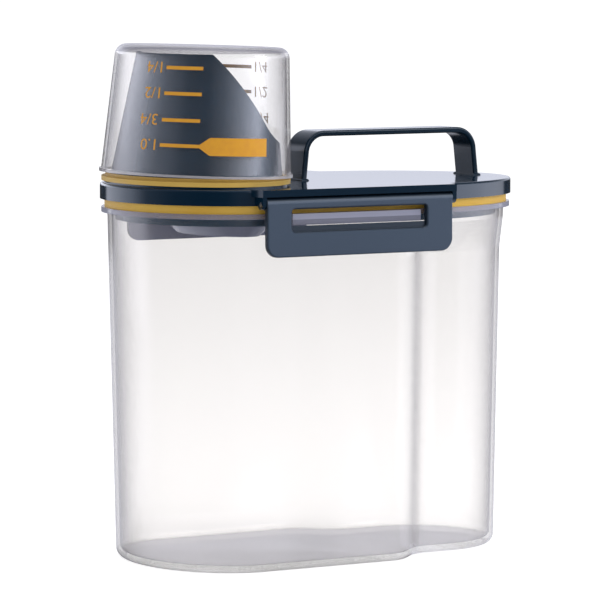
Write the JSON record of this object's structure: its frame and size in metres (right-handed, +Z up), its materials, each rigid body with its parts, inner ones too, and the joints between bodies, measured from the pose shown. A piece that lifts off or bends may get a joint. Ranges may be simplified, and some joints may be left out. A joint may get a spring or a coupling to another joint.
{
  "type": "pet food storage container",
  "caption": "Clear oval storage drum with a clip-on lid, carry handle, pouring spout and an inverted measuring cup stored over the spout.",
  "frame": {"origin": "middle of the overall footprint, on the underside of the drum", "axes": "+X along the length from the spout and cup towards the carry handle and grip end, -Y towards the front clip, +Z up"},
  "size_m": [0.192, 0.125, 0.2246],
  "materials": {
    "clear_drum": "clear, glossy",
    "clear_cup": "clear, glossy",
    "lid_plastic": "satin",
    "inner_plastic": "satin",
    "spout_plastic": "satin",
    "handle_plastic": "satin",
    "latch_plastic": "satin",
    "seal_silicone": "matte",
    "ring_silicone": "matte",
    "pin_steel": "brushed"
  },
  "bodies": {
    "drum": {"container_body": "clear_drum"},
    "lid": {"lid_cover": "lid_plastic", "inner_lid": "inner_plastic", "lid_seal": "seal_silicone", "pour_spout": "spout_plastic", "spout_seal": "ring_silicone", "carry_handle": "handle_plastic", "front_latch_pin": "pin_steel", "rear_latch_pin": "pin_steel"},
    "cup": {"measuring_cup": "clear_cup"},
    "front_clip": {"front_latch": "latch_plastic"},
    "rear_clip": {"rear_latch": "latch_plastic"}
  },
  "joints": [
    {"name": "lid_lift", "type": "slide", "parent": "drum", "child": "lid", "axis": [0, 0, 1], "range_m": [0, 0.04]},
    {"name": "cup_lift", "type": "slide", "parent": "lid", "child": "cup", "axis": [0, 0, 1], "range_m": [0, 0.06]},
    {"name": "front_latch_hinge", "type": "hinge", "parent": "lid", "child": "front_clip", "pos_m": [-0.0122, -0.0598, 0.1583], "axis": [1, 0, 0], "range_deg": [-88, 0]},
    {"name": "rear_latch_hinge", "type": "hinge", "parent": "lid", "child": "rear_clip", "pos_m": [-0.0122, 0.0598, 0.1583], "axis": [1, 0, 0], "range_deg": [0, 88]}
  ]
}
